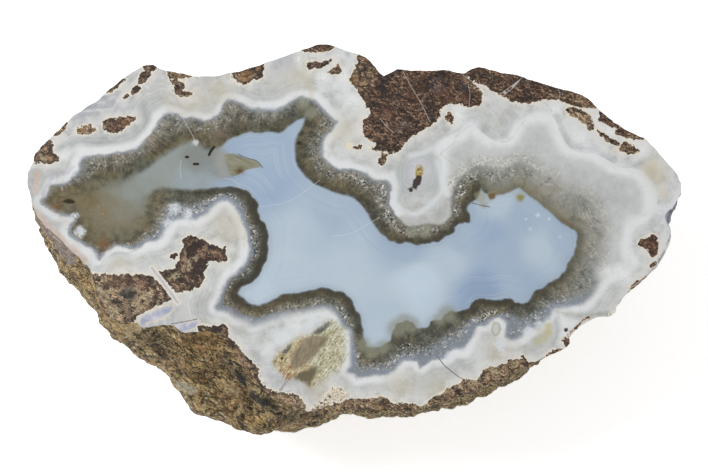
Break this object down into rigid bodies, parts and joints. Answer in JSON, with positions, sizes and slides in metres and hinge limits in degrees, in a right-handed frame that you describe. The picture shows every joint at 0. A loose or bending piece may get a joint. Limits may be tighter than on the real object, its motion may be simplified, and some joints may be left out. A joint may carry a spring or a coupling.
{
  "type": "cut agate nodule",
  "caption": "Rough agate nodule cut across once, with a flat polished face on top, a lumpy rind and a flat spot underneath.",
  "frame": {"origin": "under the middle of the stone's box, on the surface that it rests on", "axes": "+X along the stone's longest extent, +Z out of the polished face, +Y completes a right-handed frame"},
  "size_m": [0.1314, 0.0792, 0.038],
  "materials": {
    "banded_agate": "polished flat on the cut face, rough brown rind elsewhere"
  },
  "bodies": {
    "root": {"agate_nodule": "banded_agate"}
  },
  "joints": []
}
